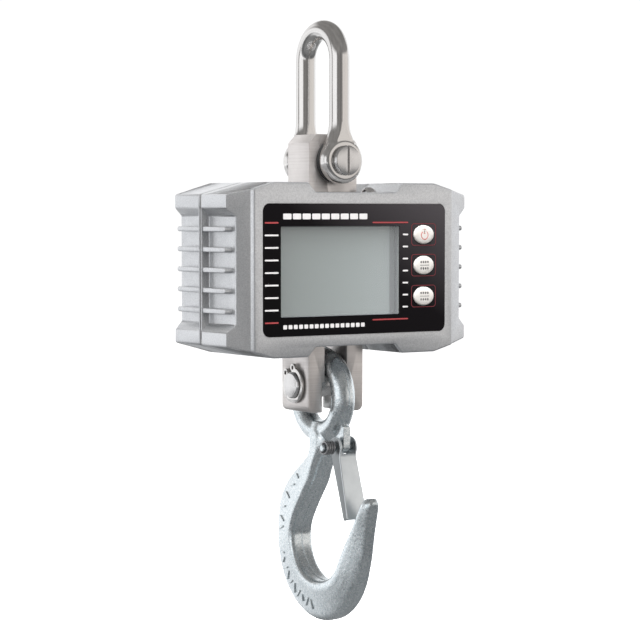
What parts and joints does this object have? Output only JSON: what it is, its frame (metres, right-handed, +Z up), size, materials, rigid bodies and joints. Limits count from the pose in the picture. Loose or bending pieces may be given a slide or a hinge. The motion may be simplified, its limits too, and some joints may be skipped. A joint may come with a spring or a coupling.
{
  "type": "crane scale",
  "caption": "Hanging crane scale: a display housing on a load cell between a D shackle and a latched eye hook.",
  "frame": {"origin": "middle of the shackle bow's inner surface, where a crane hook holds the scale", "axes": "+Z up along the load line, +X to the display's right, -Y out of the display"},
  "size_m": [0.169, 0.0985, 0.3584],
  "materials": {
    "cast": "silver textured paint on die-cast aluminium",
    "steel": "satin milled stainless steel",
    "polish": "polished stainless steel",
    "zinc": "bright zinc on a steel forging",
    "latch": "bright zinc on pressed sheet steel",
    "spring": "dark spring and screw steel",
    "rubber": "black rubber",
    "overlay": "black printed film",
    "keycap": "cream key",
    "lens": "clear window",
    "lcd": "grey-green display",
    "board": "green circuit board",
    "plastic": "dark moulded plastic",
    "cell": "printed battery jacket",
    "contact": "nickel-plated brass"
  },
  "bodies": {
    "shackle": {"shackle_bow": "polish", "shackle_pin": "polish"},
    "scale_body": {"load_cell": "steel", "gauge_cover_left": "plastic", "gauge_cover_right": "plastic", "mount_bar": "steel", "bar_bolt_1": "spring", "bar_bolt_2": "spring", "bar_screw_1": "spring", "bar_screw_2": "spring", "front_shell": "cast", "rear_shell": "cast", "case_screw_1": "spring", "case_screw_2": "spring", "case_screw_3": "spring", "case_screw_4": "spring", "shell_gasket_left": "rubber", "shell_gasket_right": "rubber", "upper_seal": "rubber", "lower_seal": "rubber", "keypad_overlay": "overlay", "display_window": "lens", "display_panel": "lcd", "display_bezel": "plastic", "main_board": "board", "board_screw_1": "spring", "board_screw_2": "spring", "board_screw_3": "spring", "board_screw_4": "spring", "key_switch_top": "plastic", "key_switch_middle": "plastic", "key_switch_bottom": "plastic", "battery_tray": "plastic", "battery_1": "cell", "battery_2": "cell", "battery_3": "cell", "battery_4": "cell", "contact_left": "contact", "contact_right": "contact", "battery_door": "cast", "door_screw_left": "spring", "door_screw_right": "spring", "door_seal": "rubber", "cell_cable": "rubber"},
    "hook_pin": {"hook_pin": "polish", "circlip_left": "polish", "circlip_right": "polish"},
    "hook": {"hook": "zinc", "latch_pin": "zinc", "latch_spring": "spring"},
    "latch": {"latch": "latch"},
    "button_top": {"button_top": "keycap"},
    "button_middle": {"button_middle": "keycap"},
    "button_bottom": {"button_bottom": "keycap"}
  },
  "joints": [
    {"name": "shackle_swing", "type": "hinge", "parent": "shackle", "child": "scale_body", "pos_m": [0, 0, -0.0717], "axis": [0, 1, 0], "range_deg": [-90, 90]},
    {"name": "hook_pin_spin", "type": "hinge", "parent": "scale_body", "child": "hook_pin", "pos_m": [0, 0, -0.2044], "axis": [1, 0, 0], "continuous": true},
    {"name": "hook_swing", "type": "hinge", "parent": "scale_body", "child": "hook", "pos_m": [0, 0, -0.2044], "axis": [1, 0, 0], "range_deg": [-45, 45]},
    {"name": "latch_swing", "type": "hinge", "parent": "hook", "child": "latch", "pos_m": [0, -0.0223, -0.2403], "axis": [1, 0, 0], "range_deg": [0, 50], "stiffness_Nm_per_rad": 0.03, "springref_deg": -28.65},
    {"name": "key_top", "type": "slide", "parent": "scale_body", "child": "button_top", "axis": [0, 1, 0], "range_m": [0, 0.0008], "stiffness_N_per_m": 600, "springref_m": -0.0006},
    {"name": "key_middle", "type": "slide", "parent": "scale_body", "child": "button_middle", "axis": [0, 1, 0], "range_m": [0, 0.0008], "stiffness_N_per_m": 600, "springref_m": -0.0006},
    {"name": "key_bottom", "type": "slide", "parent": "scale_body", "child": "button_bottom", "axis": [0, 1, 0], "range_m": [0, 0.0008], "stiffness_N_per_m": 600, "springref_m": -0.0006}
  ]
}
